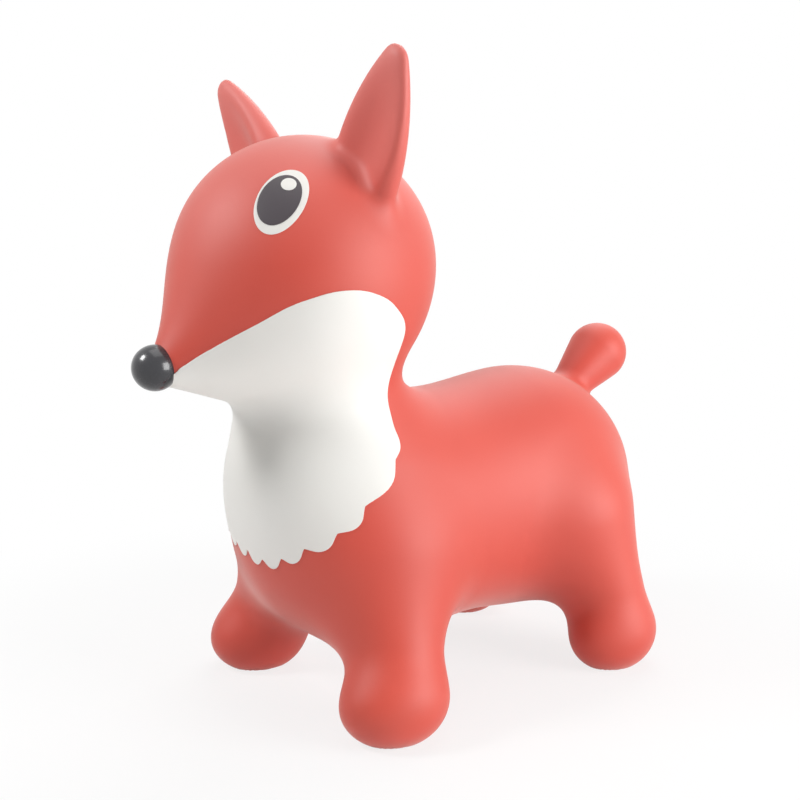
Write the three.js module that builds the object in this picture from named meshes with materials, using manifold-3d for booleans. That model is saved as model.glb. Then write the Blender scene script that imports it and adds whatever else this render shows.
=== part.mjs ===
// Inflatable fox hopper: a hollow vinyl fox that a small child sits on and bounces.
// Millimetres, +Z up. The fox faces -Y, its left side is +X and its soles stand on z = 0.
// The whole body is one blended form. It is cut into the zones that flex by themselves:
// torso, neck, head, ears, legs and tail, each a thin wall that is open to its neighbours.

import * as THREE from "three";
import { mergeVertices } from "three/addons/utils/BufferGeometryUtils.js";
import Module from "manifold-3d";

// Walls, layers and clearances
const WALL = 2.5;
const SOLE = 3.5;
const GAP = 0.3;
const COAT = 0.9;
const EYE_FILM = 0.6;

// Chest and rump: two swellings that make the torso. Stations run along Y from mid length.
const CHEST_Y = -87;
const CHEST_Z = 156;
const CHEST_HALF_WIDTH = 106;
const CHEST_HALF_LENGTH = 115;
const CHEST_HALF_HEIGHT = 111;
const RUMP_Y = 92;
const RUMP_Z = 161;
const RUMP_HALF_WIDTH = 105;
const RUMP_HALF_LENGTH = 130;
const RUMP_HALF_HEIGHT = 116;
const TRUNK_BLEND = 90;

// Head, with the neck and the muzzle placed from its middle
const HEAD_Y = -141.5;
const HEAD_Z = 387;
const HEAD_HALF_WIDTH = 96.5;
const HEAD_HALF_LENGTH = 105;
const HEAD_HALF_HEIGHT = 95;
const HEAD_BLEND = 22;
const NECK_BASE_AHEAD = 43;
const NECK_BASE_RISE = 53.5;
const NECK_BASE_RADIUS = 76;
const NECK_TOP_DROP = 55;
const NECK_TOP_BACK = 4;
const NECK_TOP_RADIUS = 59;
const NECK_BLEND = 42;
const MUZZLE_ROOT_AHEAD = 10;
const MUZZLE_ROOT_DROP = 45.5;
const MUZZLE_ROOT_RADIUS = 77.5;
const MUZZLE_TIP_AHEAD = 124.5;
const MUZZLE_TIP_DROP = 83.5;
const MUZZLE_TIP_RADIUS = 19;
const MUZZLE_BLEND = 80;
const NOSE_RADIUS = 18;
const NOSE_AHEAD = 16;
const NOSE_DROP = 2;

// Ears: flattened leaves on the head, each with a scooped front whose floor lies ahead of its axis
const EAR_ROOT_OUT = 70.5;
const EAR_ROOT_BACK = 7.5;
const EAR_ROOT_RISE = 61.5;
const EAR_HALF_WIDTH = 36.5;
const EAR_TIP_OUT = 121.5;
const EAR_TIP_AHEAD = 2.5;
const EAR_TIP_RISE = 139;
const EAR_TIP_RADIUS = 13.5;
const EAR_FLATNESS = 0.5;
const EAR_FACING = 4.5;
const EAR_BLEND = 10;
const EAR_SCOOP_FLOOR = 5;
const EAR_SCOOP_ALONG = 44;
const EAR_SCOOP_HALF_LENGTH = 85;
const EAR_SCOOP_HALF_WIDTH = 38;
const EAR_SCOOP_ROUNDING = 8;
const EAR_COLLAR_RADIUS = 48;

// Legs: a cone from the hip to the ankle, and a foot that bulges to the front
const FRONT_HIP_OUT = 57;
const FRONT_HIP_AHEAD = 21;
const FRONT_HIP_DROP = 28;
const FRONT_HIP_RADIUS = 53.5;
const FRONT_ANKLE_OUT = 104;
const FRONT_ANKLE_AHEAD = 38;
const FRONT_ANKLE_Z = 37;
const FRONT_ANKLE_RADIUS = 34.5;
const FRONT_FOOT_HALF_WIDTH = 38.5;
const FRONT_FOOT_HALF_LENGTH = 48.5;
const REAR_HIP_OUT = 77.5;
const REAR_HIP_BACK = 15;
const REAR_HIP_DROP = 20.5;
const REAR_HIP_RADIUS = 48;
const REAR_ANKLE_OUT = 104;
const REAR_ANKLE_BACK = 44;
const REAR_ANKLE_Z = 37.5;
const REAR_ANKLE_RADIUS = 33;
const REAR_FOOT_HALF_WIDTH = 34;
const REAR_FOOT_HALF_LENGTH = 46;
const FOOT_AHEAD = 9;
const FOOT_Z = 28.5;
const FOOT_HALF_HEIGHT = 33.5;
const FOOT_BLEND = 22;
const LEG_BLEND = 42;
const FRONT_LEG_FREE_LENGTH = 45;
const REAR_LEG_FREE_LENGTH = 34;

// Tail: a club that stands on the rump
const TAIL_ROOT_BACK = 80;
const TAIL_ROOT_RISE = 88.5;
const TAIL_ROOT_RADIUS = 17;
const TAIL_TIP_BACK = 124;
const TAIL_TIP_RISE = 122;
const TAIL_TIP_RADIUS = 30;
const TAIL_BLEND = 14;
const TAIL_COLLAR_RADIUS = 36;
const COLLAR_DEPTH = 40;

// Cuts across the neck
const HEAD_CUT_BELOW_CHIN = 5;
const NECK_CUT_TILT = 33;

// Eyes: angles from the middle of the head, then the half axes of the three colours
const EYE_YAW = 45;
const EYE_PITCH = 24;
const EYE_LEAN = 19;
const EYE_HALF_HEIGHT = 29;
const EYE_HALF_WIDTH = 18.5;
const PUPIL_HALF_HEIGHT = 22.5;
const PUPIL_HALF_WIDTH = 15.5;
const GLINT_HALF_HEIGHT = 6.6;
const GLINT_HALF_WIDTH = 7;
const GLINT_RISE = 12.5;
const GLINT_BACK = 3.5;

// White coat. Its edge is drawn round an upright line through the neck, from straight ahead to
// COAT_DEGREES on both sides. The cheek line, from the nose to the nape, goes through points at
// shares of that angle and at shares of the head's half height above the middle of the head.
const COAT_DEGREES = 108;
const CHEEK_EDGE = [
  [0.083, -0.895],
  [0.278, -0.642],
  [0.51, -0.358],
  [0.704, -0.263],
  [0.898, -0.41],
  [1.037, -0.8],
  [1.023, -1.137],
  [1.009, -1.4],
];
const CHEEK_STEPS = 18;
const FRINGE_DROP = 8;
const FRINGE_RISE = 86;
const FRINGE_CURVE = 2.5;
const TUFTS_PER_SIDE = 7;
const TUFT_DEPTH = 9;
const TUFT_STEPS = 4;
const COAT_CORE = 5;
const WEDGE_DEGREES = 20;
const WEDGE_RINGS = 12;

// Inflation valve under the belly: a moulded boss with a push-in plug
const VALVE_Y = 10;
const BORE_RADIUS = 4.5;
const BOSS_RADIUS = 16;
const BOSS_HEIGHT = 11;
const PLUG_HEAD_RADIUS = 10.5;
const PLUG_HEAD_HEIGHT = 2.6;
const PLUG_STEM_LENGTH = 13;
const PLUG_TAPER = 0.7;

// Fineness of the faceted surfaces
const TRUNK_CELL = 26;
const LEG_CELL = 20;
const EAR_CELL = 8;
const TAIL_CELL = 14;
const ROUND_STEPS = 16;
const EYE_STEPS = 8;

// Finding the surface: step for slopes, least slope, tiny lengths and how often a point is moved
const SLOPE_STEP = 0.05;
const LEAST_SLOPE = 0.5;
const TINY = 1e-4;
const SETTLE_ROUNDS = 4;
const MARCH_ROUNDS = 60;

const radians = THREE.MathUtils.degToRad;
const at = (x, y, z) => new THREE.Vector3(x, y, z);
const upright = at(0, 0, 1);

// Places worked out from the dimensions above
const chest = at(0, CHEST_Y, CHEST_Z);
const rump = at(0, RUMP_Y, RUMP_Z);
const head = at(0, HEAD_Y, HEAD_Z);
const neckBase = at(0, CHEST_Y - NECK_BASE_AHEAD, CHEST_Z + NECK_BASE_RISE);
const neckTop = at(0, HEAD_Y + NECK_TOP_BACK, HEAD_Z - NECK_TOP_DROP);
const muzzleRoot = at(0, HEAD_Y - MUZZLE_ROOT_AHEAD, HEAD_Z - MUZZLE_ROOT_DROP);
const muzzleTip = at(0, HEAD_Y - MUZZLE_TIP_AHEAD, HEAD_Z - MUZZLE_TIP_DROP);
const nose = at(0, muzzleTip.y - NOSE_AHEAD, muzzleTip.z - NOSE_DROP);
const earRoot = at(EAR_ROOT_OUT, HEAD_Y + EAR_ROOT_BACK, HEAD_Z + EAR_ROOT_RISE);
const earTip = at(EAR_TIP_OUT, HEAD_Y - EAR_TIP_AHEAD, HEAD_Z + EAR_TIP_RISE);
const tailRoot = at(0, RUMP_Y + TAIL_ROOT_BACK, RUMP_Z + TAIL_ROOT_RISE);
const tailTip = at(0, RUMP_Y + TAIL_TIP_BACK, RUMP_Z + TAIL_TIP_RISE);
const frontLeg = {
  hip: at(FRONT_HIP_OUT, CHEST_Y - FRONT_HIP_AHEAD, CHEST_Z - FRONT_HIP_DROP),
  ankle: at(FRONT_ANKLE_OUT, CHEST_Y - FRONT_ANKLE_AHEAD, FRONT_ANKLE_Z),
  hipRadius: FRONT_HIP_RADIUS,
  ankleRadius: FRONT_ANKLE_RADIUS,
  foot: at(FRONT_FOOT_HALF_WIDTH, FRONT_FOOT_HALF_LENGTH, FOOT_HALF_HEIGHT),
  freeLength: FRONT_LEG_FREE_LENGTH,
};
const rearLeg = {
  hip: at(REAR_HIP_OUT, RUMP_Y + REAR_HIP_BACK, RUMP_Z - REAR_HIP_DROP),
  ankle: at(REAR_ANKLE_OUT, RUMP_Y + REAR_ANKLE_BACK, REAR_ANKLE_Z),
  hipRadius: REAR_HIP_RADIUS,
  ankleRadius: REAR_ANKLE_RADIUS,
  foot: at(REAR_FOOT_HALF_WIDTH, REAR_FOOT_HALF_LENGTH, FOOT_HALF_HEIGHT),
  freeLength: REAR_LEG_FREE_LENGTH,
};
const earAxis = earTip.clone().sub(earRoot).normalize();
const earFront = at(Math.sin(radians(EAR_FACING)), -Math.cos(radians(EAR_FACING)), 0);
earFront.addScaledVector(earAxis, -earFront.dot(earAxis)).normalize();
const earSide = earAxis.clone().cross(earFront);
const tailAxis = tailTip.clone().sub(tailRoot).normalize();

// Blended form: each function gives about how far a point lies outside its shape
function softMin(a, b, blend) {
  const share = THREE.MathUtils.clamp(0.5 + (0.5 * (b - a)) / blend, 0, 1);
  return THREE.MathUtils.lerp(b, a, share) - blend * share * (1 - share);
}

function softMax(a, b, blend) {
  return -softMin(-a, -b, blend);
}

function ellipsoid(point, middle, half) {
  const offset = point.clone().sub(middle);
  const near = Math.max(offset.clone().divide(half).length(), TINY);
  const steepness = Math.max(offset.divide(half).divide(half).length(), TINY * TINY);
  return (near * (near - 1)) / steepness;
}

function roundCone(point, from, to, fromRadius, toRadius) {
  const axis = to.clone().sub(from);
  const length = axis.length();
  const offset = point.clone().sub(from);
  const along = offset.dot(axis) / length;
  const across = Math.sqrt(Math.max(offset.lengthSq() - along * along, 0));
  const sine = (fromRadius - toRadius) / length;
  const cosine = Math.sqrt(1 - sine * sine);
  const foot = (along * cosine - across * sine) / cosine;
  if (foot <= 0) return Math.hypot(along, across) - fromRadius;
  if (foot >= length) return Math.hypot(along - length, across) - toRadius;
  return across * cosine + along * sine - fromRadius;
}

// Leaf: two arcs that meet in a rounded tip, turned round the axis and widest at its start
function leaf(point, axis, length, halfWidth, tipRadius) {
  const along = Math.abs(point.dot(axis));
  const across = Math.sqrt(Math.max(point.lengthSq() - along * along, 0));
  const bulge = halfWidth - tipRadius;
  const arcRadius = (length * length + bulge * bulge) / (2 * bulge);
  const arcMiddle = arcRadius - bulge;
  const pastTip = (along - length) * arcMiddle > across * length;
  if (pastTip) return Math.hypot(along - length, across) - tipRadius;
  return Math.hypot(along, across + arcMiddle) - arcRadius - tipRadius;
}

function ear(point) {
  const offset = point.clone().sub(earRoot);
  const local = at(offset.dot(earSide), offset.dot(earFront), offset.dot(earAxis));
  const thick = at(local.x, local.y / EAR_FLATNESS, local.z);
  const length = earTip.distanceTo(earRoot);
  const body = leaf(thick, upright, length, EAR_HALF_WIDTH, EAR_TIP_RADIUS) * EAR_FLATNESS;
  const middle = at(0, EAR_SCOOP_FLOOR + EAR_SCOOP_HALF_WIDTH, EAR_SCOOP_ALONG);
  const half = at(EAR_SCOOP_HALF_WIDTH, EAR_SCOOP_HALF_WIDTH, EAR_SCOOP_HALF_LENGTH);
  return softMax(body, -ellipsoid(local, middle, half), EAR_SCOOP_ROUNDING);
}

function leg(point, { hip, ankle, hipRadius, ankleRadius, foot }) {
  const shank = roundCone(point, hip, ankle, hipRadius, ankleRadius);
  const pad = ellipsoid(point, at(ankle.x, ankle.y - FOOT_AHEAD, FOOT_Z), foot);
  return softMin(shank, pad, FOOT_BLEND);
}

function fox(position) {
  const point = at(Math.abs(position.x), position.y, position.z);
  const chestHalf = at(CHEST_HALF_WIDTH, CHEST_HALF_LENGTH, CHEST_HALF_HEIGHT);
  const rumpHalf = at(RUMP_HALF_WIDTH, RUMP_HALF_LENGTH, RUMP_HALF_HEIGHT);
  const headHalf = at(HEAD_HALF_WIDTH, HEAD_HALF_LENGTH, HEAD_HALF_HEIGHT);
  const neck = roundCone(point, neckBase, neckTop, NECK_BASE_RADIUS, NECK_TOP_RADIUS);
  const muzzle = roundCone(point, muzzleRoot, muzzleTip, MUZZLE_ROOT_RADIUS, MUZZLE_TIP_RADIUS);
  const tail = roundCone(point, tailRoot, tailTip, TAIL_ROOT_RADIUS, TAIL_TIP_RADIUS);
  let skull = softMin(ellipsoid(point, head, headHalf), muzzle, MUZZLE_BLEND);
  skull = softMin(skull, ear(point), EAR_BLEND);
  let form = softMin(ellipsoid(point, chest, chestHalf), ellipsoid(point, rump, rumpHalf), TRUNK_BLEND);
  form = softMin(form, neck, NECK_BLEND);
  form = softMin(form, skull, HEAD_BLEND);
  form = softMin(form, leg(point, frontLeg), LEG_BLEND);
  form = softMin(form, leg(point, rearLeg), LEG_BLEND);
  return softMin(form, tail, TAIL_BLEND);
}

function slope(field, point) {
  const rise = (step) => field(point.clone().add(step)) - field(point.clone().sub(step));
  const x = rise(at(SLOPE_STEP, 0, 0));
  const y = rise(at(0, SLOPE_STEP, 0));
  const z = rise(at(0, 0, SLOPE_STEP));
  return at(x, y, z).divideScalar(2 * SLOPE_STEP);
}

// Moves a point from outside along an inward direction until it lies on the fox's surface
function march(start, direction) {
  const point = start.clone();
  for (let round = 0; round < MARCH_ROUNDS; round++) {
    point.addScaledVector(direction, fox(point));
  }
  return point;
}

// Net of quads round the form inside a box: one vertex in each grid cell that the surface
// crosses, drawn onto the surface, and one quad for each grid edge that it crosses.
function netSurface(box, cell) {
  const size = box.getSize(at(0, 0, 0));
  const middle = box.getCenter(at(0, 0, 0));
  const field = (point) => {
    const beyondBox = [0, 1, 2].map((axis) => {
      const offset = point.getComponent(axis) - middle.getComponent(axis);
      return Math.abs(offset) - size.getComponent(axis) / 2;
    });
    return Math.max(fox(point), ...beyondBox);
  };
  const count = size.toArray().map((length) => Math.ceil(length / cell) + 3);
  const start = at(...count).subScalar(1).multiplyScalar(-cell / 2).add(middle);
  const key = (i, j, k) => (k * count[1] + j) * count[0] + i;
  const node = (i, j, k) => at(i, j, k).multiplyScalar(cell).add(start);
  const values = new Float64Array(count[0] * count[1] * count[2]);
  for (let k = 0; k < count[2]; k++) {
    for (let j = 0; j < count[1]; j++) {
      for (let i = 0; i < count[0]; i++) {
        values[key(i, j, k)] = field(node(i, j, k));
      }
    }
  }
  const corners = [0, 1, 2, 3, 4, 5, 6, 7].map((c) => [c & 1, (c >> 1) & 1, c >> 2]);
  const vertexOf = new Map();
  const points = [];
  for (let k = 0; k + 1 < count[2]; k++) {
    for (let j = 0; j + 1 < count[1]; j++) {
      for (let i = 0; i + 1 < count[0]; i++) {
        const crossings = cellCrossings(corners, (c) => values[key(i + c[0], j + c[1], k + c[2])]);
        if (!crossings.length) continue;
        const point = crossings.reduce((sum, crossing) => sum.add(crossing), at(0, 0, 0));
        point.divideScalar(crossings.length);
        point.add(at(i, j, k)).multiplyScalar(cell).add(start);
        vertexOf.set(key(i, j, k), points.length);
        points.push(settle(field, point));
      }
    }
  }
  const triangles = [];
  const rings = [
    [[0, 0, 0], [0, -1, 0], [0, -1, -1], [0, 0, -1]],
    [[0, 0, 0], [0, 0, -1], [-1, 0, -1], [-1, 0, 0]],
    [[0, 0, 0], [-1, 0, 0], [-1, -1, 0], [0, -1, 0]],
  ];
  for (let k = 1; k + 1 < count[2]; k++) {
    for (let j = 1; j + 1 < count[1]; j++) {
      for (let i = 1; i + 1 < count[0]; i++) {
        for (let axis = 0; axis < 3; axis++) {
          const inside = values[key(i, j, k)] < 0;
          const next = values[key(i + (axis === 0), j + (axis === 1), k + (axis === 2))] < 0;
          if (inside === next) continue;
          const quad = rings[axis].map((d) => vertexOf.get(key(i + d[0], j + d[1], k + d[2])));
          if (!inside) quad.reverse();
          const [a, b, c, d] = quad.map((index) => points[index]);
          const shortWay = a.distanceToSquared(c) < b.distanceToSquared(d);
          const order = shortWay ? [0, 1, 2, 0, 2, 3] : [0, 1, 3, 1, 2, 3];
          triangles.push(...order.map((corner) => quad[corner]));
        }
      }
    }
  }
  const normals = points.map((point) => slope(field, point).normalize());
  return { points, normals, triangles };
}

function cellCrossings(corners, valueAt) {
  const found = [];
  const levels = corners.map(valueAt);
  for (let a = 0; a < 8; a++) {
    for (const bit of [1, 2, 4]) {
      const b = a | bit;
      if (b === a || levels[a] < 0 === levels[b] < 0) continue;
      const share = levels[a] / (levels[a] - levels[b]);
      found.push(at(...corners[a]).lerp(at(...corners[b]), share));
    }
  }
  return found;
}

function settle(field, point) {
  for (let round = 0; round < SETTLE_ROUNDS; round++) {
    const rise = slope(field, point);
    const steepness = Math.max(rise.length(), LEAST_SLOPE);
    point.addScaledVector(rise, -field(point) / (steepness * steepness));
  }
  return point;
}

function netGeometry(net, offset) {
  const moved = net.points.map((point, index) => point.clone().addScaledVector(net.normals[index], offset));
  const geometry = new THREE.BufferGeometry().setFromPoints(moved);
  return geometry.setIndex(net.triangles);
}

// Solids for cutting and joining. FAR is past every part of the fox.
const FAR = 4 * (HEAD_Z + EAR_TIP_RISE);
const wasm = await Module();
wasm.setup();

function solid(geometry) {
  const bare = geometry.clone();
  bare.deleteAttribute("normal");
  bare.deleteAttribute("uv");
  const merged = mergeVertices(bare, TINY);
  const vertProperties = Float32Array.from(merged.attributes.position.array);
  const triVerts = Uint32Array.from(merged.index.array);
  return new wasm.Manifold(new wasm.Mesh({ numProp: 3, vertProperties, triVerts }));
}

function mesh(name, body, material) {
  const { vertProperties, triVerts } = body.getMesh();
  const geometry = new THREE.BufferGeometry();
  geometry.setAttribute("position", new THREE.BufferAttribute(vertProperties, 3));
  geometry.setIndex(new THREE.BufferAttribute(triVerts, 1));
  geometry.computeVertexNormals();
  const piece = new THREE.Mesh(geometry, material);
  piece.name = name;
  return piece;
}

function boxBetween(low, high) {
  const size = high.clone().sub(low);
  const middle = low.clone().add(high).divideScalar(2);
  return solid(new THREE.BoxGeometry(size.x, size.y, size.z).translate(middle.x, middle.y, middle.z));
}

// Block that starts at a plane across an axis and takes all that lies beyond it
function beyond(origin, axis) {
  const turn = new THREE.Quaternion().setFromUnitVectors(upright, axis);
  const block = new THREE.BoxGeometry(FAR, FAR, FAR).translate(0, 0, FAR / 2);
  return solid(block.applyQuaternion(turn).translate(origin.x, origin.y, origin.z));
}

// Round post that starts at a point and runs along an axis
function post(origin, axis, radius, length) {
  const turn = new THREE.Quaternion().setFromUnitVectors(at(0, 1, 0), axis);
  const round = new THREE.CylinderGeometry(radius, radius, length, ROUND_STEPS).translate(0, length / 2, 0);
  return solid(round.applyQuaternion(turn).translate(origin.x, origin.y, origin.z));
}

// Hollow wall of the form in a region, with flat soles
const underFloor = boxBetween(at(-FAR, -FAR, -FAR), at(FAR, FAR, 0));
const underSole = boxBetween(at(-FAR, -FAR, -FAR), at(FAR, FAR, SOLE));

function wallOf(net) {
  const outer = solid(netGeometry(net, 0)).subtract(underFloor);
  const inner = solid(netGeometry(net, -WALL)).subtract(underSole);
  return outer.subtract(inner);
}

const noseFront = nose.y - NOSE_RADIUS;
const tailBack = tailTip.y + TAIL_TIP_RADIUS;
const widest = Math.max(FRONT_ANKLE_OUT + FRONT_FOOT_HALF_WIDTH, REAR_ANKLE_OUT + REAR_FOOT_HALF_WIDTH,
  CHEST_HALF_WIDTH, RUMP_HALF_WIDTH, EAR_TIP_OUT + EAR_TIP_RADIUS);
const footDepth = FOOT_HALF_HEIGHT + FOOT_BLEND;
const wholeBox = new THREE.Box3(
  at(-widest, noseFront, -footDepth).subScalar(TRUNK_CELL),
  at(widest, tailBack, earTip.z + EAR_TIP_RADIUS).addScalar(TRUNK_CELL),
);
const trunkNet = netSurface(wholeBox, TRUNK_CELL);
const trunkOuter = solid(netGeometry(trunkNet, 0));
let trunkWall = wallOf(trunkNet);

// Limbs. A leg is cut square to its axis. An ear or the tail takes a round collar of skin with it.
const vinyl = new THREE.MeshStandardMaterial({ color: 0xd65a50, roughness: 0.55, metalness: 0 });
const mirrored = (vector, side) => at(vector.x * side, vector.y, vector.z);
const limbs = [];
for (const [sideName, side] of [["left", 1], ["right", -1]]) {
  limbs.push({
    name: `${sideName}_ear_skin`,
    start: mirrored(earRoot.clone().addScaledVector(earAxis, -COLLAR_DEPTH), side),
    axis: mirrored(earAxis, side),
    radius: EAR_COLLAR_RADIUS,
    length: COLLAR_DEPTH + earTip.distanceTo(earRoot) + 2 * EAR_TIP_RADIUS,
    cell: EAR_CELL,
  });
  for (const [place, limb] of [["front", frontLeg], ["rear", rearLeg]]) {
    const axis = limb.ankle.clone().sub(limb.hip).normalize();
    limbs.push({
      name: `${place}_${sideName}_leg_skin`,
      start: mirrored(limb.ankle.clone().addScaledVector(axis, -limb.freeLength), side),
      axis: mirrored(axis, side),
      radius: Math.max(limb.hipRadius, limb.foot.x, limb.foot.y) + LEG_BLEND / 2,
      length: limb.freeLength + limb.ankleRadius + footDepth,
      cell: LEG_CELL,
    });
  }
}
limbs.push({
  name: "tail_skin",
  start: tailRoot.clone().addScaledVector(tailAxis, -COLLAR_DEPTH),
  axis: tailAxis,
  radius: TAIL_COLLAR_RADIUS,
  length: COLLAR_DEPTH + tailTip.distanceTo(tailRoot) + 2 * TAIL_TIP_RADIUS,
  cell: TAIL_CELL,
});

const pieces = [];
for (const limb of limbs) {
  const zone = post(limb.start, limb.axis, limb.radius, limb.length);
  const lower = limb.start.clone().addScaledVector(limb.axis, -GAP);
  const rest = post(lower, limb.axis, limb.radius + GAP, limb.length);
  const { min, max } = zone.boundingBox();
  const region = new THREE.Box3(at(...min), at(...max)).expandByScalar(limb.cell);
  pieces.push(mesh(limb.name, wallOf(netSurface(region, limb.cell)).intersect(zone), vinyl));
  trunkWall = trunkWall.subtract(rest);
}

// Inflation valve: the plug's head sits flush in a round recess of the belly
const belly = march(at(0, VALVE_Y, 0), upright).z;
const recessTop = belly + PLUG_HEAD_HEIGHT + GAP;
const valveFoot = at(0, VALVE_Y, belly - BOSS_HEIGHT);
const valvePost = (radius, top) => post(valveFoot, upright, radius, top - valveFoot.z);
const boss = valvePost(BOSS_RADIUS, recessTop + BOSS_HEIGHT).intersect(trunkOuter);
const recess = valvePost(PLUG_HEAD_RADIUS + GAP, recessTop);
const bore = valvePost(BORE_RADIUS, recessTop + 2 * BOSS_HEIGHT);
trunkWall = trunkWall.add(boss).subtract(recess).subtract(bore);
const stemRadius = BORE_RADIUS - GAP;
const plugProfile = [
  [0, 0],
  [PLUG_HEAD_RADIUS - PLUG_HEAD_HEIGHT / 3, 0],
  [PLUG_HEAD_RADIUS, PLUG_HEAD_HEIGHT / 3],
  [PLUG_HEAD_RADIUS, PLUG_HEAD_HEIGHT],
  [stemRadius, PLUG_HEAD_HEIGHT],
  [stemRadius - PLUG_TAPER, PLUG_HEAD_HEIGHT + PLUG_STEM_LENGTH],
  [0, PLUG_HEAD_HEIGHT + PLUG_STEM_LENGTH],
].map(([radius, height]) => new THREE.Vector2(radius, height));
const plugForm = new THREE.LatheGeometry(plugProfile, ROUND_STEPS).rotateX(Math.PI / 2);
const plugSolid = solid(plugForm.translate(0, VALVE_Y, belly));
const plugMaterial = new THREE.MeshStandardMaterial({ color: 0xe8e6e2, roughness: 0.45, metalness: 0 });
pieces.push(mesh("valve_plug", plugSolid, plugMaterial));

// Torso, neck and head: the rest of the wall, cut across the neck base and under the chin
const neckUp = at(0, -Math.sin(radians(NECK_CUT_TILT)), Math.cos(radians(NECK_CUT_TILT)));
const headCut = at(0, HEAD_Y, muzzleTip.z - MUZZLE_TIP_RADIUS - HEAD_CUT_BELOW_CHIN);
const aboveNeckBase = (shift) => beyond(neckBase.clone().addScaledVector(neckUp, shift), neckUp);
const aboveChin = (shift) => beyond(headCut.clone().addScaledVector(upright, shift), upright);
pieces.push(mesh("torso_skin", trunkWall.subtract(aboveNeckBase(-GAP / 2)), vinyl));
const neckWall = trunkWall.intersect(aboveNeckBase(GAP / 2)).subtract(aboveChin(-GAP / 2));
pieces.push(mesh("neck_skin", neckWall, vinyl));
pieces.push(mesh("head_skin", trunkWall.intersect(aboveChin(GAP / 2)), vinyl));

// Nose: a ball whose back is hollowed to seat on the end of the muzzle
const noseBall = (radius) => {
  const ball = new THREE.SphereGeometry(radius, ROUND_STEPS, ROUND_STEPS / 2).rotateX(Math.PI / 2);
  return solid(ball.translate(nose.x, nose.y, nose.z));
};
const layer = (low, high) => solid(netGeometry(trunkNet, high)).subtract(solid(netGeometry(trunkNet, low)));
const gloss = new THREE.MeshStandardMaterial({ color: 0x46464a, roughness: 0.15, metalness: 0 });
const noseSolid = noseBall(NOSE_RADIUS).subtract(solid(netGeometry(trunkNet, GAP)));
pieces.push(mesh("nose_ball", noseSolid, gloss));

// White coat over the cheeks, throat and chest, with a fringe of round tufts
function fringeHeight(angle) {
  const share = angle / COAT_DEGREES;
  const rise = FRINGE_RISE * Math.pow(Math.abs(share), FRINGE_CURVE);
  const tuft = ((share + 1) * TUFTS_PER_SIDE) % 1;
  return CHEST_Z - FRINGE_DROP + rise - TUFT_DEPTH * Math.sin(Math.PI * tuft);
}

const cheekKnots = CHEEK_EDGE.map(([turn, rise]) => {
  return new THREE.Vector2(turn * COAT_DEGREES, HEAD_Z + rise * HEAD_HALF_HEIGHT);
});
cheekKnots.push(new THREE.Vector2(COAT_DEGREES, fringeHeight(COAT_DEGREES)));
const cheekLine = new THREE.SplineCurve(cheekKnots).getPoints(CHEEK_STEPS);
const fringeSteps = 2 * TUFTS_PER_SIDE * TUFT_STEPS;
const coatEdge = cheekLine.slice(0, -1).map(({ x, y }) => new THREE.Vector2(-x, y));
for (let step = 0; step <= fringeSteps; step++) {
  const angle = COAT_DEGREES * ((2 * step) / fringeSteps - 1);
  coatEdge.push(new THREE.Vector2(angle, fringeHeight(angle)));
}
coatEdge.push(...cheekLine.slice(0, -1).reverse());

// Flat triangles inside an edge, halved until none spans more than a few degrees. New points
// are added after those of the edge.
function fill(edge) {
  const points = [...edge];
  const halves = new Map();
  const half = (a, b) => {
    const key = `${Math.min(a, b)} ${Math.max(a, b)}`;
    if (!halves.has(key)) {
      halves.set(key, points.length);
      points.push(points[a].clone().lerp(points[b], 0.5));
    }
    return halves.get(key);
  };
  const waiting = THREE.ShapeUtils.triangulateShape(edge, []);
  const faces = [];
  while (waiting.length) {
    const [a, b, c] = waiting.pop();
    const span = ([from, to]) => Math.abs(points[from].x - points[to].x);
    const sides = [[a, b, c], [b, c, a], [c, a, b]].sort((one, other) => span(other) - span(one));
    const [from, to, apex] = sides[0];
    if (span(sides[0]) <= WEDGE_DEGREES) {
      faces.push([a, b, c]);
      continue;
    }
    const middle = half(from, to);
    waiting.push([from, middle, apex], [middle, to, apex]);
  }
  return { points, faces };
}

// Wedge that spreads an edge drawn in angle and height outwards from the upright neck line. Its
// sides go out in rings, each wider than the last by the same ratio, so that they stay smooth.
function wedge(edge, low, high) {
  const { points, faces } = fill(edge);
  const count = points.length;
  const places = [];
  for (let step = 0; step <= WEDGE_RINGS; step++) {
    const radius = low * Math.pow(high / low, step / WEDGE_RINGS);
    for (const { x, y } of points) {
      const angle = radians(x);
      places.push(at(radius * Math.sin(angle), neckTop.y - radius * Math.cos(angle), y));
    }
  }
  const outer = WEDGE_RINGS * count;
  const index = faces.flatMap(([a, b, c]) => [a, c, b, outer + a, outer + b, outer + c]);
  for (let inside = 0; inside < outer; inside += count) {
    for (let step = 0; step < edge.length; step++) {
      const a = inside + step;
      const b = inside + ((step + 1) % edge.length);
      index.push(a, b, count + a, b, count + b, count + a);
    }
  }
  return solid(new THREE.BufferGeometry().setFromPoints(places).setIndex(index));
}

const coatReach = 2 * (neckTop.y - noseFront);
const coatWedge = wedge(coatEdge, COAT_CORE, coatReach);
const coatSolid = layer(GAP, GAP + COAT).intersect(coatWedge).subtract(noseBall(NOSE_RADIUS + GAP));
const whitePaint = new THREE.MeshStandardMaterial({ color: 0xf4f1ea, roughness: 0.5, metalness: 0 });
pieces.push(mesh("white_coat", coatSolid, whitePaint));

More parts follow.
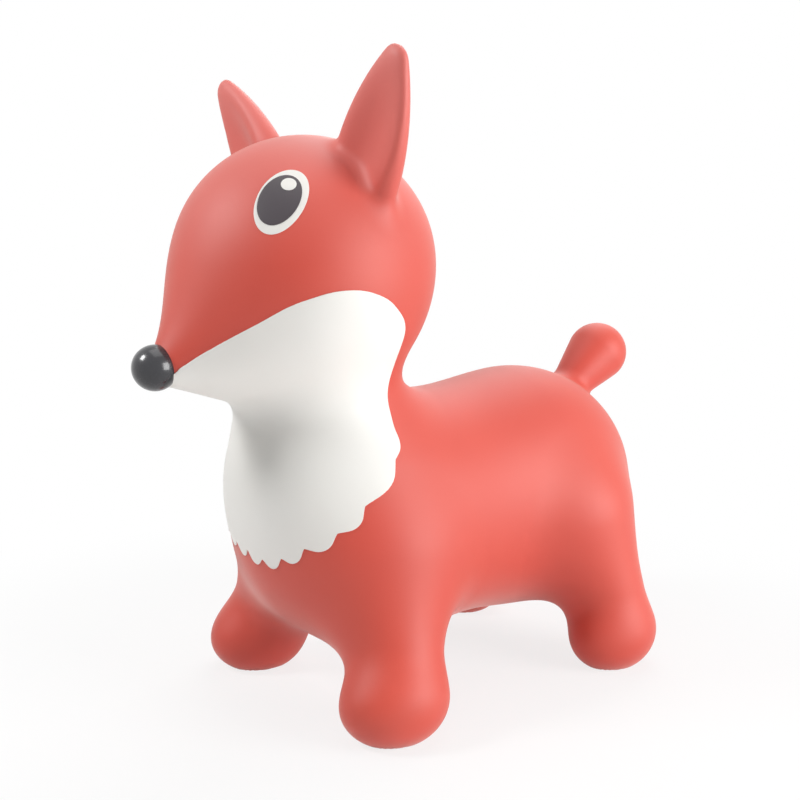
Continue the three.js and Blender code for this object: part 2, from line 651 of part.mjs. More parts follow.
// Eyes: three printed colours, each let into the one around it
const pupilGrey = new THREE.MeshStandardMaterial({ color: 0x4e4a4e, roughness: 0.4, metalness: 0 });
const eyeFilm = layer(GAP, GAP + EYE_FILM);
for (const [sideName, side] of [["left", 1], ["right", -1]]) {
  const flat = Math.cos(radians(EYE_PITCH));
  const gaze = at(side * flat * Math.sin(radians(EYE_YAW)), -flat * Math.cos(radians(EYE_YAW)),
    Math.sin(radians(EYE_PITCH)));
  const ahead = head.clone().addScaledVector(gaze, 2 * HEAD_HALF_LENGTH);
  const spot = march(ahead, gaze.clone().negate());
  const out = slope(fox, spot).normalize();
  const back = upright.clone().cross(out).normalize().multiplyScalar(side);
  const up = upright.clone().addScaledVector(out, -upright.dot(out)).normalize();
  const longAxis = up.clone().multiplyScalar(Math.cos(radians(EYE_LEAN)));
  longAxis.addScaledVector(back, Math.sin(radians(EYE_LEAN)));
  const shortAxis = longAxis.clone().cross(out);
  const frame = new THREE.Matrix4().makeBasis(shortAxis, longAxis, out);
  const depth = 2 * EYE_HALF_WIDTH;
  const extrusion = { depth, bevelEnabled: false, curveSegments: EYE_STEPS };
  const ovalPost = (centre, halfWidth, halfHeight) => {
    const outline = new THREE.Shape().absellipse(0, 0, halfWidth, halfHeight, 0, 2 * Math.PI);
    const form = new THREE.ExtrudeGeometry(outline, extrusion);
    form.translate(0, 0, -depth / 2).applyMatrix4(frame);
    return solid(form.translate(centre.x, centre.y, centre.z));
  };
  const glint = spot.clone().addScaledVector(up, GLINT_RISE).addScaledVector(back, GLINT_BACK);
  const parts = {
    white: ovalPost(spot, EYE_HALF_WIDTH, EYE_HALF_HEIGHT)
      .subtract(ovalPost(spot, PUPIL_HALF_WIDTH + GAP, PUPIL_HALF_HEIGHT + GAP)),
    pupil: ovalPost(spot, PUPIL_HALF_WIDTH, PUPIL_HALF_HEIGHT)
      .subtract(ovalPost(glint, GLINT_HALF_WIDTH + GAP, GLINT_HALF_HEIGHT + GAP)),
    glint: ovalPost(glint, GLINT_HALF_WIDTH, GLINT_HALF_HEIGHT),
  };
  for (const [colour, shape] of Object.entries(parts)) {
    const paint = colour === "pupil" ? pupilGrey : whitePaint;
    pieces.push(mesh(`${sideName}_eye_${colour}`, eyeFilm.intersect(shape), paint));
  }
}

// The finished fox stands with the middle of its footprint on the origin
const hopper = new THREE.Group();
hopper.add(...pieces);
const whole = new THREE.Box3().setFromObject(hopper);
const centre = whole.getCenter(at(0, 0, 0));
hopper.position.set(-centre.x, -centre.y, -whole.min.z);

export default hopper;
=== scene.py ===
import math

import bpy
import numpy as np
from mathutils import Matrix, Vector


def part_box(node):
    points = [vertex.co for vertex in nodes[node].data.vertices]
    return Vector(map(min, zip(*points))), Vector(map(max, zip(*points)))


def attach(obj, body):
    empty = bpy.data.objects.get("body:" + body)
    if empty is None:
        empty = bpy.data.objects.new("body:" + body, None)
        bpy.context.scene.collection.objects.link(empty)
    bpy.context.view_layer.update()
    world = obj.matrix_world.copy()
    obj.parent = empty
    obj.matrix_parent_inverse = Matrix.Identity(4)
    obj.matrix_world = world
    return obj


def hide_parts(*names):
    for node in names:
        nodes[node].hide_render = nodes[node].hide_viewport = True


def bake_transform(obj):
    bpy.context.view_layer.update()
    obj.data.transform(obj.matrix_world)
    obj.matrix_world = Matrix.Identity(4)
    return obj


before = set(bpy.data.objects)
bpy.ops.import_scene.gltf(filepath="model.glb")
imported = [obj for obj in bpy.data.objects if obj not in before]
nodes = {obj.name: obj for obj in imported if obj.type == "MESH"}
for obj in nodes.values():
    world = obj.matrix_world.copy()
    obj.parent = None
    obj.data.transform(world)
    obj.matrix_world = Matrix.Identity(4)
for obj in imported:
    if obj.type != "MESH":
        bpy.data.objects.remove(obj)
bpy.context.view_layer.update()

# Camera: stands ahead of the fox on its left, level with the middle of its head, and looks
# slightly down. Its place, turn and lens are those at which the outline falls where the photograph
# has it. The tilt and the turn are in degrees.
picture_side = 800
camera_place = (0.78974, -0.63978, 0.400)
camera_tilt = 8.17
camera_turn = 51.72
scene = bpy.context.scene
scene.render.resolution_x = picture_side
scene.render.resolution_y = picture_side
scene.view_settings.view_transform = "Standard"
bpy.ops.object.select_all(action="DESELECT")
bpy.ops.object.camera_add(
    location=camera_place,
    rotation=(math.radians(90 - camera_tilt), 0, math.radians(camera_turn)),
)
camera = bpy.context.object
camera.name = "camera"
camera.data.sensor_width = 36
camera.data.lens = 50.89
scene.camera = camera


# Skin: one seamless hollow moulding of soft coral vinyl, cast by turning a closed mould and
# then blown up with air. Its legs, ears and tail are drawn off the same surface, so the whole
# fox is shaped first as one closed form and only then parted where a limb starts to flex.
def only(piece):
    """Makes a piece the one selected and active object."""
    bpy.ops.object.select_all(action="DESELECT")
    piece.select_set(True)
    bpy.context.view_layer.objects.active = piece
    return piece


def apply(piece, kind, **settings):
    """Adds a modifier to a piece and applies it."""
    only(piece)
    modifier = piece.modifiers.new(kind.title(), kind)
    for name, value in settings.items():
        setattr(modifier, name, value)
    bpy.ops.object.modifier_apply(modifier=modifier.name)


def duplicate(piece, name):
    """A copy of a piece with a mesh of its own."""
    copy = bpy.data.objects.new(name, piece.data.copy())
    scene.collection.objects.link(copy)
    return copy


def select_faces(piece, chosen):
    """Opens a piece for editing with these of its faces selected."""
    only(piece)
    bpy.ops.object.mode_set(mode="EDIT")
    bpy.ops.mesh.select_mode(type="FACE")
    bpy.ops.mesh.select_all(action="DESELECT")
    bpy.ops.object.mode_set(mode="OBJECT")
    piece.data.polygons.foreach_set("select", chosen)
    bpy.ops.object.mode_set(mode="EDIT")


def points_of(piece):
    """Places of a mesh's points, one row each."""
    places = np.empty(3 * len(piece.data.vertices))
    piece.data.vertices.foreach_get("co", places)
    return places.reshape(-1, 3)


def set_points(piece, places):
    """Moves a mesh's points."""
    piece.data.vertices.foreach_set("co", places.ravel())
    piece.data.update()


weld_distance = 1e-6
voxel_sizes = (0.004, 0.003)
skin_zones = [name for name in nodes if name.endswith("_skin")]
copies = [duplicate(nodes[name], "fox_skin") for name in skin_zones + ["valve_plug"]]
skin = only(copies[0])
for copy in copies:
    copy.select_set(True)
bpy.ops.object.join()
bpy.ops.object.mode_set(mode="EDIT")
bpy.ops.mesh.select_all(action="SELECT")
bpy.ops.mesh.remove_doubles(threshold=weld_distance)
bpy.ops.object.mode_set(mode="OBJECT")
skin.data.materials.clear()
for voxel_size in voxel_sizes:
    apply(skin, "REMESH", mode="VOXEL", voxel_size=voxel_size)

# The moulded form, in metres: swellings and cones that run into one another. A cone is given as
# its two ends and their radii, a swelling as its middle and its half sizes.
chest = ((0, -0.0599, 0.156), (0.106, 0.115, 0.111))
rump = ((0, 0.1191, 0.161), (0.105, 0.130, 0.116))
trunk_blend = 0.090
skull = ((0, -0.1144, 0.387), (0.0965, 0.105, 0.095))
neck = ((0, -0.1029, 0.2095), (0, -0.1104, 0.332), 0.076, 0.059)
neck_blend = 0.042
head_blend = 0.022
muzzle = ((0, -0.1244, 0.3415), (0, -0.2389, 0.3035), 0.0775, 0.0165)
muzzle_blend = 0.080
ear_root = Vector((0.0705, -0.10686, 0.4485))
ear_axis = Vector((0.54655, -0.10717, 0.83054))
ear_front = Vector((-0.00341, -0.99205, -0.12576))
ear_side = ear_axis.cross(ear_front)
ear_length = 0.0933
ear_half_width = 0.0365
ear_tip_radius = 0.0135
ear_flatness = 0.5
ear_blend = 0.010
ear_foot_length = 0.060
scoop = ((0.006, 0.041, 0.048), (0.038, 0.037, 0.080))
scoop_rounding = 0.009
front_leg = ((0.057, -0.0809, 0.128), (0.104, -0.0979, 0.037), 0.0535, 0.0345)
front_foot = ((0.104, -0.1069, 0.0285), (0.0365, 0.0455, 0.0335))
rear_leg = ((0.0775, 0.1341, 0.1405), (0.104, 0.1631, 0.0375), 0.048, 0.033)
rear_foot = ((0.104, 0.1551, 0.0285), (0.0325, 0.043, 0.0335))
foot_blend = 0.022
leg_blend = 0.042
tail_root = Vector((0, 0.19914, 0.2495))
tail_axis = Vector((0, 0.7956, 0.6058))
tail_club = (tuple(tail_root), (0, 0.2431, 0.283), 0.017, 0.030)
tail_blend = 0.014
tiny = 1e-6


def beside(places, root, axis):
    """How far places lie along an axis from a root, and how far off that axis."""
    offset = places - np.array(root)
    along = offset @ np.array(axis)
    across = np.linalg.norm(offset - np.outer(along, axis), axis=1)
    return along, across


def soft_min(first, second, blend):
    """Joins two shapes, each given as how far places lie outside it, with a rounded crease."""
    share = np.clip(0.5 + 0.5 * (second - first) / blend, 0, 1)
    return second + (first - second) * share - blend * share * (1 - share)


def swelling(places, middle, half):
    """About how far places lie outside an ellipsoid."""
    offset = (places - np.array(middle)) / np.array(half)
    near = np.maximum(np.linalg.norm(offset, axis=1), tiny)
    rate = np.maximum(np.linalg.norm(offset / np.array(half), axis=1), tiny)
    return near * (near - 1) / rate


def round_cone(places, start, end, start_radius, end_radius):
    """How far places lie outside a cone with round ends."""
    axis = np.subtract(end, start)
    length = np.linalg.norm(axis)
    along, across = beside(places, start, axis / length)
    sine = (start_radius - end_radius) / length
    cosine = math.sqrt(1 - sine ** 2)
    foot = along - across * sine / cosine
    side = across * cosine + along * sine - start_radius
    low = np.hypot(along, across) - start_radius
    high = np.hypot(along - length, across) - end_radius
    return np.where(foot <= 0, low, np.where(foot >= length, high, side))


def ear_form(places):
    """About how far places lie outside the left ear: a flattened leaf with a scooped front."""
    offset = places - np.array(ear_root)
    local = offset @ np.array([ear_side, ear_front, ear_axis]).T
    along = np.maximum(local[:, 2], -local[:, 2] * ear_length / ear_foot_length)
    across = np.hypot(local[:, 0], local[:, 1] / ear_flatness)
    bulge = ear_half_width - ear_tip_radius
    arc = (ear_length ** 2 + bulge ** 2) / (2 * bulge)
    past_tip = (along - ear_length) * (arc - bulge) > across * ear_length
    blade = np.hypot(along, across + arc - bulge) - arc
    tip = np.hypot(along - ear_length, across)
    leaf = (np.where(past_tip, tip, blade) - ear_tip_radius) * ear_flatness
    return -soft_min(-leaf, swelling(local, *scoop), scoop_rounding)


def fox_form(places):
    """About how far places lie outside the fox. Its right half mirrors its left."""
    left = places * 1.0
    left[:, 0] = np.abs(left[:, 0])
    head = soft_min(swelling(left, *skull), round_cone(left, *muzzle), muzzle_blend)
    head = soft_min(head, ear_form(left), ear_blend)
    form = soft_min(swelling(left, *chest), swelling(left, *rump), trunk_blend)
    form = soft_min(form, round_cone(left, *neck), neck_blend)
    form = soft_min(form, head, head_blend)
    for leg, foot in [(front_leg, front_foot), (rear_leg, rear_foot)]:
        limb = soft_min(round_cone(left, *leg), swelling(left, *foot), foot_blend)
        form = soft_min(form, limb, leg_blend)
    return soft_min(form, round_cone(left, *tail_club), tail_blend)


def slope(places):
    """The direction and steepness in which places leave the fox."""
    step = 5e-5
    return np.column_stack([
        (fox_form(places + nudge) - fox_form(places - nudge)) / (2 * step)
        for nudge in np.eye(3) * step
    ])


# The ear tips get finer faces. Then the points are drawn onto the form and eased in turn.
ear_tip = np.array(ear_root + ear_axis * ear_length)
ear_tip_reach = 0.030
easing_rounds = 3
settling_rounds = 3
least_steepness = 0.25
middles = np.array([face.center for face in skin.data.polygons])
middles[:, 0] = np.abs(middles[:, 0])
select_faces(skin, np.linalg.norm(middles - ear_tip, axis=1) < ear_tip_reach)
bpy.ops.mesh.subdivide()
bpy.ops.object.mode_set(mode="OBJECT")
for easing in range(easing_rounds):
    places = points_of(skin)
    for settling in range(settling_rounds):
        rise = slope(places)
        steepness = np.maximum((rise ** 2).sum(axis=1), least_steepness)
        places -= rise * (fox_form(places) / steepness)[:, None]
    set_points(skin, places)
    if easing < easing_rounds - 1:
        apply(skin, "SMOOTH", factor=0.5, iterations=6)
places[:, 2] = np.maximum(places[:, 2], 0)
set_points(skin, places)
only(skin)
bpy.ops.object.shade_smooth()


class Wire:
    """A socket of a material's node tree. Arithmetic on it adds Math nodes."""

    def __init__(self, tree, socket=None):
        self.tree = tree
        self.socket = socket

    def add(self, kind, settings=None, inputs=None, output=0):
        node = self.tree.nodes.new(kind)
        for name, value in (settings or {}).items():
            setattr(node, name, value)
        for name, value in (inputs or {}).items():
            if isinstance(value, Wire):
                self.tree.links.new(value.socket, node.inputs[name])
            else:
                node.inputs[name].default_value = value
        return Wire(self.tree, node.outputs[output])

    def math(self, operation, first, second):
        return self.add("ShaderNodeMath", {"operation": operation}, {0: first, 1: second})

    def __add__(self, other):
        return self.math("ADD", self, other)

    def __radd__(self, other):
        return self.math("ADD", other, self)

    def __sub__(self, other):
        return self.math("SUBTRACT", self, other)

    def __rsub__(self, other):
        return self.math("SUBTRACT", other, self)

    def __mul__(self, other):
        return self.math("MULTIPLY", self, other)

    def __rmul__(self, other):
        return self.math("MULTIPLY", other, self)


def linear(red, green, blue):
    """A colour as seen on screen, 0 to 255, as the renderer's light values."""
    return tuple(
        value / 12.92 if value <= 0.04045 else ((value + 0.055) / 1.055) ** 2.4
        for value in (red / 255, green / 255, blue / 255)
    )


drift_scale = 9.0
speck_scale = 900.0
speck_height = 0.0004
speck_spread = 0.12
# Painted top light: the heights where the paler tone starts and where it is full, and how much of
# it is mixed in.
top_light_start = 0.38
top_light_end = 0.54
top_light_share = 0.45


def finish_of(name, deep, pale, roughness, grain, painted_top_light=None, **constants):
    """Moulded or painted vinyl: two close tones that drift over the piece, and a fine grain. A
    third, paler tone can be mixed in towards the top of the fox: painted light from the lamps
    above, not a colour of the vinyl."""
    material = bpy.data.materials.new(name)
    material.use_nodes = True
    tree = material.node_tree
    shader = tree.nodes["Principled BSDF"]
    wire = Wire(tree)
    place = wire.add("ShaderNodeTexCoord", output="Object")
    drift = wire.add("ShaderNodeTexNoise", inputs={
        "Vector": place, "Scale": drift_scale, "Detail": 3.0,
    })
    speck = wire.add("ShaderNodeTexNoise", inputs={
        "Vector": place, "Scale": speck_scale, "Detail": 2.0,
    })
    tone = wire.add("ShaderNodeMix", {"data_type": "RGBA"},
                    {"Factor": drift, "A": (*deep, 1), "B": (*pale, 1)}, output="Result")
    # Painted light: towards the top of the fox the colour turns paler, standing in for the light
    # of the lamps above.
    if painted_top_light:
        height = wire.add("ShaderNodeSeparateXYZ", inputs={"Vector": place}, output="Z")
        share = wire.add("ShaderNodeMapRange", inputs={
            "Value": height, "From Min": top_light_start, "From Max": top_light_end,
            "To Min": 0.0, "To Max": top_light_share,
        })
        tone = wire.add("ShaderNodeMix", {"data_type": "RGBA"},
                        {"Factor": share, "A": tone, "B": (*painted_top_light, 1)}, output="Result")
    bump = wire.add("ShaderNodeBump", inputs={
        "Height": speck, "Strength": grain, "Distance": speck_height,
    })
    tree.links.new(tone.socket, shader.inputs["Base Color"])
    mottled = roughness + (speck - 0.5) * speck_spread
    tree.links.new(mottled.socket, shader.inputs["Roughness"])
    tree.links.new(bump.socket, shader.inputs["Normal"])
    for socket, value in constants.items():
        shader.inputs[socket.replace("_", " ")].default_value = value
    return material


# The coral is painted paler towards the top of the fox: painted light from above.
coral_vinyl = finish_of(
    "coral vinyl", linear(200, 54, 32), linear(210, 66, 42), 0.6, 0.10, painted_top_light=linear(224, 132, 126),
    Specular_IOR_Level=1.0, Sheen_Weight=0.4, Sheen_Roughness=0.4, Sheen_Tint=(1.0, 0.92, 0.87, 1),
)
skin.data.materials.append(coral_vinyl)

# Coat: the white of cheeks, throat and chest, a raised step of the mould sprayed white through
# a mask. It ends in a crisp edge on the cheeks and in round tufts of fur across the chest. The
# edge is drawn flat, in degrees round an upright line through the neck and in millimetres above
# the floor, and then bent round that line.
coat_rise = 0.0009
coat_depth = 0.0018
coat_rounding = 0.0004
neck_line_y = -0.11036
cheek_edge = [
    (5, 296), (9, 303), (15, 313), (36, 337), (54, 354), (72, 361), (86, 356), (97, 344),
    (104.5, 331), (108, 311), (112, 290), (111.5, 270), (109, 250), (107.5, 233),
]
fringe_notches = [
    (-102, 224), (-83, 194), (-65, 176), (-47, 163), (-29, 155), (-13, 149), (2, 146), (17, 141),
    (34, 145), (50, 156), (68, 170), (82, 191), (102, 224),
]
tuft_depth = 9
tuft_lean = 160
steps_per_point = 10
edge_weld = 0.01
bend_angles = range(-105, 110, 15)
cutter_reach = 0.33
cutter_rings = 16
ring_ratio = 0.77
millimetres_per_metre = 1000

bpy.ops.curve.primitive_bezier_curve_add()
coat_line = bpy.context.object
spline = coat_line.data.splines[0]
edge = [(-angle, height, "AUTO") for angle, height in cheek_edge]
for (first, first_height), (second, second_height) in zip(fringe_notches, fringe_notches[1:]):
    share = 0.5 + (second_height - first_height) / tuft_lean
    middle = first + (second - first) * share
    middle_height = first_height + (second_height - first_height) * share
    edge.append((first, first_height, "VECTOR"))
    edge.append((middle, middle_height - tuft_depth, "AUTO"))
edge.append((*fringe_notches[-1], "VECTOR"))
edge += [(angle, height, "AUTO") for angle, height in reversed(cheek_edge)]
spline.bezier_points.add(len(edge) - 2)
for point, (angle, height, kind) in zip(spline.bezier_points, edge):
    point.co = (angle, height, 0)
    point.handle_left_type = kind
    point.handle_right_type = kind
spline.use_cyclic_u = True
coat_line.data.dimensions = "2D"
coat_line.data.fill_mode = "NONE"
coat_line.data.resolution_u = steps_per_point
only(coat_line)
bpy.ops.object.convert(target="MESH")
cutter = bpy.context.object
bpy.ops.object.mode_set(mode="EDIT")
bpy.ops.mesh.select_all(action="SELECT")
bpy.ops.mesh.remove_doubles(threshold=edge_weld)
bpy.ops.mesh.edge_face_add()
for angle in bend_angles:
    bpy.ops.mesh.select_all(action="SELECT")
    bpy.ops.mesh.bisect(plane_co=(angle, 0, 0), plane_no=(1, 0, 0))
bpy.ops.object.mode_set(mode="OBJECT")
flat = points_of(cutter)
turn = np.radians(flat[:, 0])
round_points = np.column_stack([
    cutter_reach * np.sin(turn),
    neck_line_y - cutter_reach * np.cos(turn),
    flat[:, 1] / millimetres_per_metre,
])
set_points(cutter, round_points)
only(cutter)
bpy.ops.object.mode_set(mode="EDIT")
bpy.ops.mesh.select_all(action="SELECT")
for ring in range(cutter_rings):
    bpy.ops.mesh.extrude_region_move()
    bpy.ops.transform.resize(
        value=(ring_ratio, ring_ratio, 1), center_override=(0, neck_line_y, 0),
    )
bpy.ops.mesh.select_all(action="SELECT")
bpy.ops.mesh.quads_convert_to_tris()
bpy.ops.mesh.normals_make_consistent(inside=False)
bpy.ops.object.mode_set(mode="OBJECT")
cut_mark = bpy.data.materials.new("cut mark")
cutter.data.materials.append(cut_mark)
layer_corner = math.radians(50)
hard_corner = math.radians(40)
smooth_angle = math.radians(35)


def layer(name, blank, cutter, rise, depth, rounding):
    """A thin layer on the skin: the skin raised a little, cut out by a cutter, given a thickness
    that goes down into the skin, and rounded at its edge."""
    piece = duplicate(blank, name)
    piece.data.materials.append(cut_mark)
    apply(piece, "DISPLACE", strength=rise, mid_level=0)
    apply(
        piece, "BOOLEAN", operation="INTERSECT", object=cutter, solver="EXACT",
        material_mode="TRANSFER",
    )
    mark = piece.data.materials.find(cut_mark.name)
    select_faces(piece, [face.material_index == mark for face in piece.data.polygons])
    bpy.ops.mesh.delete(type="FACE")
    bpy.ops.object.mode_set(mode="OBJECT")
    apply(piece, "SOLIDIFY", thickness=depth, offset=-1)
    apply(
        piece, "BEVEL", width=rounding, segments=2, limit_method="ANGLE", angle_limit=layer_corner,
    )
    piece.data.materials.clear()
    only(piece)
    bpy.ops.object.shade_smooth_by_angle(angle=smooth_angle)
    return piece


white_paint = finish_of("white paint", linear(237, 235, 229), linear(242, 241, 237), 0.5, 0.08)
coat = layer("white_coat_layer", skin, cutter, coat_rise, coat_depth, coat_rounding)
coat.data.materials.append(white_paint)
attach(coat, "trunk")
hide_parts("white_coat")

# Eyes: three colours printed one on another, white, dark grey and a white glint, on the dome of
# the head. The oval leans back towards the ear. The right eye is the left one mirrored.
eye_middle = Vector((0.0675, -0.1819, 0.428))
eye_out = Vector((0.666, -0.55, 0.503)).normalized()
eye_long = Vector((-0.125, 0.58, 0.804))
eye_long = (eye_long - eye_out * eye_long.dot(eye_out)).normalized()
eye_short = eye_long.cross(eye_out)
pupil_shift = 0.0015
pupil_middle = eye_middle - eye_short * pupil_shift
glint_middle = Vector((0.0650, -0.1735, 0.4392))
cut_length = 0.05
print_depth = 0.0010
print_rounding = 0.0001
eye_turn = Matrix((eye_short, eye_long, eye_out)).transposed().to_4x4()
pupil_grey = finish_of("pupil grey", linear(64, 57, 62), linear(74, 67, 72), 0.42, 0.04)
eye_colours = [
    ("eye_white", eye_middle, 0.0185, 0.0290, 0.00035, white_paint, "white_paint"),
    ("eye_pupil", pupil_middle, 0.0155, 0.0225, 0.00055, pupil_grey, "pupil_grey"),
    ("eye_glint", glint_middle, 0.0059, 0.0057, 0.00075, white_paint, "white_paint"),
]
for colour, middle, half_width, half_height, rise, paint, slot in eye_colours:
    bpy.ops.mesh.primitive_cylinder_add(vertices=96, radius=1, depth=1)
    oval = bpy.context.object
    oval.data.transform(Matrix.Diagonal((half_width, half_height, cut_length, 1)))
    oval.data.transform(Matrix.Translation(middle) @ eye_turn)
    oval.data.materials.append(cut_mark)
    left = layer("left_" + colour + "_print", skin, oval, rise, print_depth, print_rounding)
    left.data.materials.append(paint)
    right = duplicate(left, "right_" + colour + "_print")
    right.data.transform(Matrix.Diagonal((-1, 1, 1, 1)))
    right.data.flip_normals()
    for piece, side in [(left, "left"), (right, "right")]:
        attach(piece, "trunk")
        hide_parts(side + "_" + colour)
    bpy.data.objects.remove(oval)
bpy.data.objects.remove(cutter)

# Nose: a ball of hard gloss plastic, hollowed at the back to seat on the end of the muzzle,
# where it is glued.
nose_rounding = 0.0006
nose_low, nose_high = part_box("nose_ball")
nose_radius = (nose_high.x - nose_low.x) / 2
nose_middle = Vector((0, nose_low.y + nose_radius, (nose_low.z + nose_high.z) / 2))
bpy.ops.mesh.primitive_uv_sphere_add(
    segments=64, ring_count=32, radius=nose_radius, location=nose_middle,
)
nose = bpy.context.object
nose.name = "gloss_nose"
bpy.ops.object.transform_apply(location=True, rotation=True, scale=True)
apply(nose, "BOOLEAN", operation="DIFFERENCE", object=skin, solver="EXACT")
apply(
    nose, "BEVEL", width=nose_rounding, segments=3, limit_method="ANGLE", angle_limit=hard_corner,
)
only(nose)
bpy.ops.object.shade_smooth_by_angle(angle=smooth_angle)
nose.data.materials.clear()
nose_gloss = finish_of(
    "nose gloss", linear(38, 38, 43), linear(44, 44, 49), 0.25, 0.02, Coat_Weight=0.4,
)
nose.data.materials.append(nose_gloss)
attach(nose, "trunk")
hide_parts("nose_ball")

# Valve plug: a small stopper of stiff plastic, pressed into a moulded boss under the belly. Its
# head lies flush in a round recess, dished so that a fingernail finds the rim; the stem is ribbed.
plug_low, plug_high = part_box("valve_plug")
plug_radius = (plug_high.x - plug_low.x) / 2
plug_y = (plug_low.y + plug_high.y) / 2
head_height = 0.0026
stem_radius = 0.0042
bore_radius = 0.0045
bore_length = 0.016
clearance = 0.0003
cut_below = 0.012
rim_width = 0.0022
dish_depth = 0.0010
dish_width = 0.0030
button_height = 0.0007
plug_rounding = 0.0003
flat_enough = 0.9
same_height = 1e-5


def ends_of(piece, side):
    """Which faces of an upright piece are its lowest (side -1) or highest (side 1)."""
    heights = np.array([side * face.center.z for face in piece.data.polygons])
    facing = np.array([side * face.normal.z > flat_enough for face in piece.data.polygons])
    return facing & (heights > heights[facing].max() - same_height)


recess_depth = cut_below + head_height + clearance
bpy.ops.mesh.primitive_cylinder_add(
    vertices=64, radius=plug_radius + clearance, depth=recess_depth,
    location=(0, plug_y, plug_low.z + head_height + clearance - recess_depth / 2),
)
recess = bpy.context.object
bpy.ops.object.transform_apply(location=True, rotation=True, scale=True)
select_faces(recess, ends_of(recess, 1))
bpy.ops.mesh.inset(thickness=plug_radius + clearance - bore_radius)
bpy.ops.mesh.extrude_region_move(TRANSFORM_OT_translate={"value": (0, 0, bore_length)})
bpy.ops.object.mode_set(mode="OBJECT")
apply(skin, "BOOLEAN", operation="DIFFERENCE", object=recess, solver="EXACT")
bpy.data.objects.remove(recess)
bpy.ops.mesh.primitive_cylinder_add(
    vertices=64, radius=plug_radius, depth=head_height,
    location=(0, plug_y, plug_low.z + head_height / 2),
)
plug = bpy.context.object
plug.name = "valve_stopper"
bpy.ops.object.transform_apply(location=True, rotation=True, scale=True)
select_faces(plug, ends_of(plug, -1))
bpy.ops.mesh.inset(thickness=rim_width)
bpy.ops.mesh.extrude_region_move(TRANSFORM_OT_translate={"value": (0, 0, dish_depth)})
bpy.ops.mesh.inset(thickness=dish_width)
bpy.ops.mesh.extrude_region_move(TRANSFORM_OT_translate={"value": (0, 0, -button_height)})
bpy.ops.object.mode_set(mode="OBJECT")
select_faces(plug, ends_of(plug, 1))
bpy.ops.mesh.inset(thickness=plug_radius - stem_radius)
# Each ring of the stem: how far it lies above the last one, and its radius.
stem_rings = [
    (0.0025, 0.0042), (0.0004, 0.0036), (0.0018, 0.0036), (0.0008, 0.0041), (0.0006, 0.0036),
    (0.0020, 0.0036), (0.0008, 0.0039), (0.0006, 0.0034), (0.0020, 0.0034), (0.0015, 0.0026),
]
ring_radius = stem_radius
for rise, radius in stem_rings:
    bpy.ops.mesh.extrude_region_move(TRANSFORM_OT_translate={"value": (0, 0, rise)})
    spread = radius / ring_radius
    bpy.ops.transform.resize(value=(spread, spread, 1), center_override=(0, plug_y, 0))
    ring_radius = radius
bpy.ops.object.mode_set(mode="OBJECT")
apply(
    plug, "BEVEL", width=plug_rounding, segments=2, limit_method="ANGLE", angle_limit=hard_corner,
)
only(plug)
bpy.ops.object.shade_smooth_by_angle(angle=smooth_angle)
plug_plastic = finish_of("plug plastic", linear(226, 223, 216), linear(232, 230, 224), 0.4, 0.02)
plug.data.materials.append(plug_plastic)
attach(plug, "plug")
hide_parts("valve_plug")

# Limbs: legs, ears and tail belong to the skin's moulding. Each is parted from the body along the
# edges of the mesh and keeps the body's shading there. Each also has a bend, given as where it
# starts and ends, from the limb's root along its axis; the script works out those two points but
# makes nothing bend.
front_cut = Vector((0.0836, -0.0905, 0.0764))
front_axis = Vector((0.4527, -0.1638, -0.8765)).normalized()
front_radius = 0.0745
front_bend = (0.004, 0.085)
rear_cut = Vector((0.0958, 0.1542, 0.0693))
rear_axis = Vector((0.2405, 0.2632, -0.9347)).normalized()
rear_radius = 0.069
rear_bend = (0.004, 0.08)
ear_collar = 0.048
ear_bend = (0.018, 0.105)
tail_collar = 0.036
tail_bend = (0.012, 0.075)
collar_depth = 0.040
form_tolerance = 0.0008
sole_height = 0.0002


def mirrored(vector, side):
    """The same vector on the fox's left (side 1) or right (side -1)."""
    return Vector((vector.x * side, vector.y, vector.z))


limbs = []
for side_name, side in [("left", 1), ("right", -1)]:
    front_name = "front_" + side_name + "_leg"
    rear_name = "rear_" + side_name + "_leg"
    ear_name = side_name + "_ear"
    for limb, root, axis, lowest, radius, bend in [
        (front_name, front_cut, front_axis, 0, front_radius, front_bend),
        (rear_name, rear_cut, rear_axis, 0, rear_radius, rear_bend),
        (ear_name, ear_root, ear_axis, -collar_depth, ear_collar, ear_bend),
    ]:
        limbs.append((limb, mirrored(root, side), mirrored(axis, side), lowest, radius, bend))
limbs.append(("tail", tail_root, tail_axis, -collar_depth, tail_collar, tail_bend))
pieces = {"trunk": skin}
for limb, root, axis, lowest, radius, bend in limbs:
    middles = np.array([face.center for face in skin.data.polygons])
    along, across = beside(middles, root, axis)
    select_faces(skin, (along > lowest) & (across < radius))
    bpy.ops.mesh.separate(type="SELECTED")
    bpy.ops.object.mode_set(mode="OBJECT")
    pieces[limb] = [piece for piece in bpy.context.selected_objects if piece is not skin][0]
for piece in pieces.values():
    normals = slope(points_of(piece))
    normals /= np.linalg.norm(normals, axis=1)[:, None]
    corners = np.array([normals[corner.vertex_index] for corner in piece.data.loops])
    middles = np.array([face.center for face in piece.data.polygons])
    off_form = (np.abs(fox_form(middles)) > form_tolerance) | (middles[:, 2] < sole_height)
    for face in np.array(piece.data.polygons)[off_form]:
        corners[list(face.loop_indices)] = face.normal
    piece.data.normals_split_custom_set(corners)
for limb, root, axis, lowest, radius, (start, end) in limbs:
    piece = pieces[limb]
    piece.name = limb + "_vinyl"
    root + axis * start
    root + axis * end
    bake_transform(piece)
    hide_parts(limb + "_skin")
skin.name = "body_vinyl"
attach(skin, "trunk")
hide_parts("torso_skin", "neck_skin", "head_skin")

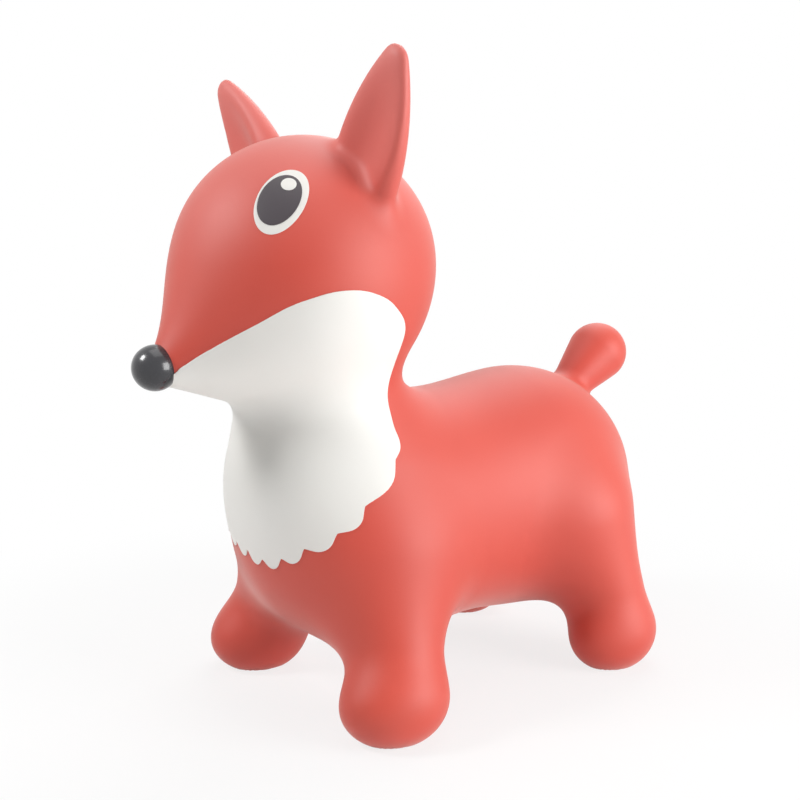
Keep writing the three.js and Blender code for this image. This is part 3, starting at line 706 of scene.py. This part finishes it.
# Floor and light: a white studio. What the camera sees directly or in a gloss is plain white, but
# for the soft shadow at the feet. A strong lamp low on the right and three weaker ones light the
# fox. The floor's own shade fades into white between two distances from the fox.
floor_size = 12
floor_drop = 0.0005
shade_start = 0.30
shade_end = 0.65
least_white = 0.8
room_light = 0.15
lamp_aim = Vector((0, 0, 0.28))
bpy.ops.mesh.primitive_plane_add(size=floor_size, location=(0, 0, -floor_drop))
floor = bpy.context.object
floor.name = "studio_floor"
bpy.ops.object.transform_apply(location=True, rotation=True, scale=True)
floor_white = bpy.data.materials.new("floor white")
floor_white.use_nodes = True
tree = floor_white.node_tree
wire = Wire(tree)
floor_shader = tree.nodes["Principled BSDF"]
floor_shader.inputs["Base Color"].default_value = (0.9, 0.9, 0.9, 1)
floor_shader.inputs["Roughness"].default_value = 0.9


def seen_white(wire):
    """1 on rays that show a thing as it is seen: direct, mirrored or through clear material."""
    direct = wire.add("ShaderNodeLightPath", output="Is Camera Ray")
    mirror = wire.add("ShaderNodeLightPath", output="Is Glossy Ray")
    through = wire.add("ShaderNodeLightPath", output="Is Transmission Ray")
    return direct + mirror + through


spot = wire.add("ShaderNodeTexCoord", output="Object")
distance = wire.add("ShaderNodeVectorMath", {"operation": "LENGTH"}, {0: spot}, output="Value")
far = wire.add("ShaderNodeMapRange", {"interpolation_type": "SMOOTHSTEP"}, {
    "Value": distance, "From Min": shade_start, "From Max": shade_end,
    "To Min": least_white, "To Max": 1.0,
})
glow = wire.add("ShaderNodeEmission", inputs={"Color": (1, 1, 1, 1), "Strength": 1.0})
mixed = wire.add("ShaderNodeMixShader", inputs={
    0: seen_white(wire) * far,
    1: Wire(tree, floor_shader.outputs[0]),
    2: glow,
})
tree.links.new(mixed.socket, tree.nodes["Material Output"].inputs["Surface"])
floor.data.materials.append(floor_white)
world = bpy.data.worlds.new("white room")
scene.world = world
world.use_nodes = True
wire = Wire(world.node_tree)
room = world.node_tree.nodes["Background"]
room.inputs["Color"].default_value = (1, 1, 1, 1)
strength = seen_white(wire) * (1 - room_light) + room_light
world.node_tree.links.new(strength.socket, room.inputs["Strength"])
for name, place, size, power in [
    ("key", (1.5, 0.7, 0.6), 1.0, 25),
    ("front", (-0.35, -1.1, 1.15), 0.4, 10),
    ("top", (0.1, 0, 1.7), 1.2, 6),
    ("back", (-0.6, 0.9, 1.5), 1.2, 11),
]:
    bpy.ops.object.light_add(type="AREA", location=place)
    lamp = bpy.context.object
    lamp.name = name
    lamp.data.size = size
    lamp.data.energy = power
    lamp.rotation_euler = (lamp_aim - Vector(place)).to_track_quat("-Z", "Y").to_euler()
